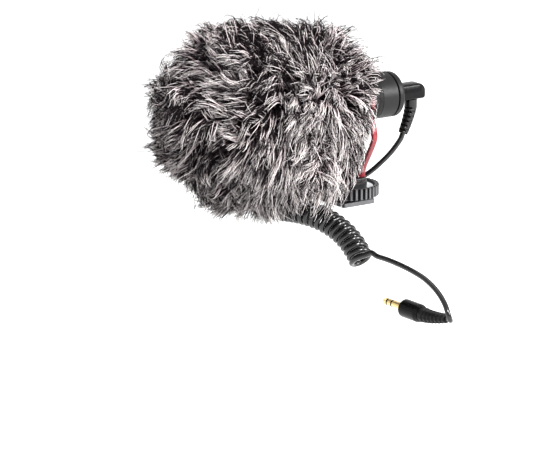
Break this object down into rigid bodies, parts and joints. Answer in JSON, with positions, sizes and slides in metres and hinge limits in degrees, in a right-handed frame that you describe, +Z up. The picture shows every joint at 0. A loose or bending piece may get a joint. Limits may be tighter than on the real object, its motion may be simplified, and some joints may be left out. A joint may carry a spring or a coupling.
{
  "type": "on-camera microphone",
  "caption": "Compact on-camera microphone in two rubber lyres, with a fur windshield, a cold-shoe foot with a thumb wheel, and a curly patch cord with mini plugs.",
  "frame": {"origin": "centre of the shoe foot's flat underside", "axes": "-Y the way the microphone points, +Z up from the shoe foot, +X towards the far plug"},
  "size_m": [0.1312, 0.1423, 0.1327],
  "materials": {
    "fur": "long mottled grey and cream hair",
    "knit_backing": "knitted",
    "foam": "open-cell foam",
    "body_satin": "satin black",
    "grille_steel": "fine brushed",
    "screen_black": "fine mesh",
    "capsule_metal": "plain",
    "mount_black": "moulded, slightly glossy",
    "plug_black": "moulded satin",
    "rubber_black": "matt",
    "cord_black": "glossy sheath",
    "lyre_red": "smooth translucent red",
    "foot_steel": "plain",
    "screw_steel": "plain",
    "insert_brass": "turned",
    "contact_gold": "polished gold plate",
    "board_green": "solder mask",
    "wire_red": "insulation",
    "wire_black": "insulation"
  },
  "bodies": {
    "mount": {"shoe_foot": "foot_steel", "threaded_stud": "foot_steel", "mount_base": "mount_black", "rear_lyre": "lyre_red", "front_lyre": "lyre_red", "rear_lyre_screw": "screw_steel", "front_lyre_screw": "screw_steel"},
    "clamp": {"clamp_washer": "mount_black"},
    "wheel": {"thumb_wheel": "mount_black", "wheel_insert": "insert_brass"},
    "microphone": {"body_tube": "body_satin", "front_ring": "body_satin", "front_grille": "grille_steel", "slot_screen": "screen_black", "capsule_can": "capsule_metal", "capsule_boot": "rubber_black", "capsule_wire_signal": "wire_red", "capsule_wire_ground": "wire_black", "circuit_board": "board_green", "output_chip": "mount_black", "filter_capacitor": "wire_black", "jack_socket": "mount_black", "rear_cap": "body_satin", "rear_band": "rubber_black", "cord_coil": "cord_black", "cord_lead_far": "cord_black", "far_plug_relief": "rubber_black", "far_plug_grip": "plug_black", "far_plug_sleeve": "contact_gold", "far_plug_ring": "contact_gold", "far_plug_tip": "contact_gold", "far_plug_insulator_1": "plug_black", "far_plug_insulator_2": "plug_black"},
    "windshield": {"windshield_fur": "fur", "windshield_backing": "knit_backing", "windshield_foam": "foam", "windshield_hem": "knit_backing"},
    "mic_plug": {"plug_housing": "plug_black", "plug_relief": "rubber_black", "plug_sleeve": "contact_gold", "plug_ring": "contact_gold", "plug_tip": "contact_gold", "plug_insulator_1": "plug_black", "plug_insulator_2": "plug_black", "cord_lead_near": "cord_black"}
  },
  "joints": [
    {"name": "clamp_lift", "type": "slide", "parent": "mount", "child": "clamp", "axis": [0, 0, 1], "range_m": [0, 0.00079375]},
    {"name": "wheel_turn", "type": "hinge", "parent": "clamp", "child": "wheel", "pos_m": [0, 0, 0.0065], "axis": [0, 0, 1], "range_deg": [0, 180]},
    {"name": "suspension_sway", "type": "slide", "parent": "mount", "child": "microphone", "axis": [0, 1, 0], "range_m": [-0.003, 0.003], "stiffness_N_per_m": 400},
    {"name": "windshield_slide", "type": "slide", "parent": "microphone", "child": "windshield", "axis": [0, -1, 0], "range_m": [0, 0.06]},
    {"name": "plug_slide", "type": "slide", "parent": "microphone", "child": "mic_plug", "axis": [0, 1, 0], "range_m": [0, 0.015]}
  ],
  "couplings": [
    {"joint": "wheel_turn", "follows": "clamp_lift", "rad_per_m": 3957.9}
  ]
}
